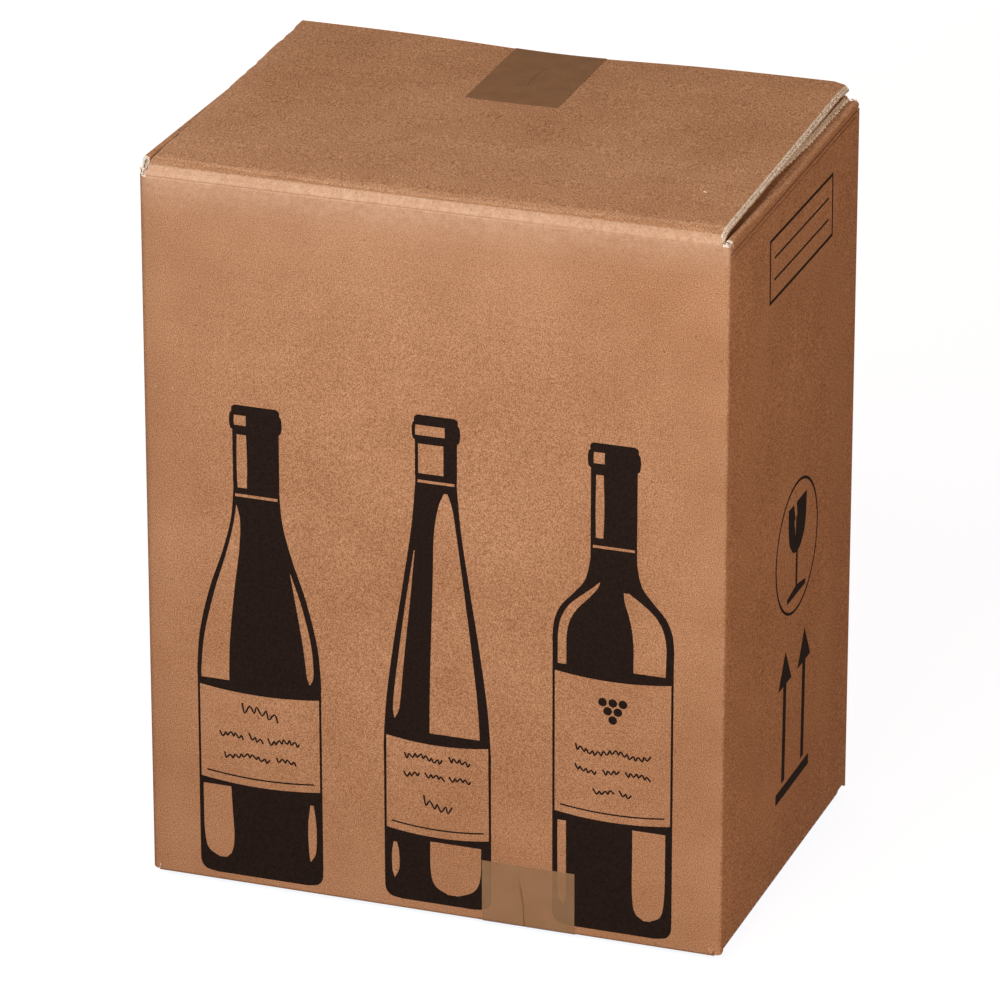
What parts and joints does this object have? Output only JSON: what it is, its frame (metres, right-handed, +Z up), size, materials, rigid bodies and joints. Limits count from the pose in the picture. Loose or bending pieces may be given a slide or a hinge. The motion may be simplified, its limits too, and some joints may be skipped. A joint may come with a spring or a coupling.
{
  "type": "bottle shipping box",
  "caption": "Tall closed corrugated cardboard shipping carton for wine bottles, with overlapping flaps at both ends, taped shut with brown packing tape.",
  "frame": {"origin": "centre of the footprint, on the floor under the outer bottom flap", "axes": "+Z up, the printed front panel faces -Y, width along X"},
  "size_m": [0.311, 0.2182, 0.3997],
  "materials": {
    "kraft_board": "uncoated brown kraft liner with fine fibre grain, pale at cut edges",
    "packing_tape": "brown plastic film, satin, slightly see-through"
  },
  "bodies": {
    "root": {"carton": "kraft_board", "top_tape": "packing_tape", "bottom_tape": "packing_tape"}
  },
  "joints": []
}
